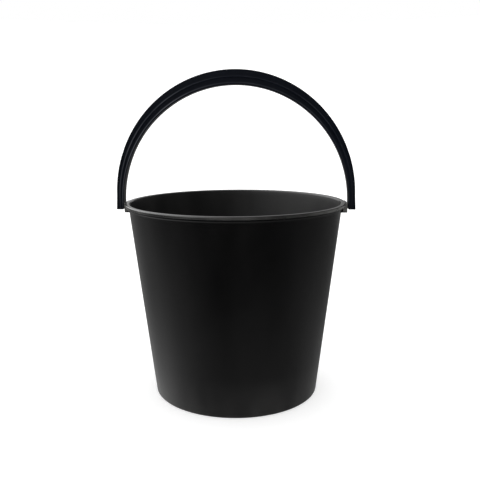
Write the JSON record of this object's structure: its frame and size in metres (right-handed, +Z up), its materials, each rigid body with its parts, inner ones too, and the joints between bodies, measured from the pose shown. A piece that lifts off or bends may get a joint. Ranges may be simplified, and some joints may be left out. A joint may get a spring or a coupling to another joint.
{
  "type": "florist bucket",
  "caption": "Tapered round plastic bucket with a turned-down rim, side ears and an upright swinging bail handle, for cut flowers and water.",
  "frame": {"origin": "centre of the base, on the surface the bucket stands on", "axes": "+Z up through the mouth; the pegs and ears lie along X, at both sides; the handle stands upright in the XZ plane"},
  "size_m": [0.3076, 0.283, 0.415],
  "materials": {
    "bucket_plastic": "satin moulded polypropylene",
    "handle_plastic": "satin moulded polypropylene"
  },
  "bodies": {
    "bucket": {"bucket_body": "bucket_plastic"},
    "handle": {"bail_handle": "handle_plastic"}
  },
  "joints": [
    {"name": "handle_swing", "type": "hinge", "parent": "bucket", "child": "handle", "pos_m": [0, 0, 0.2438], "axis": [1, 0, 0], "range_deg": [-120, 120]}
  ]
}
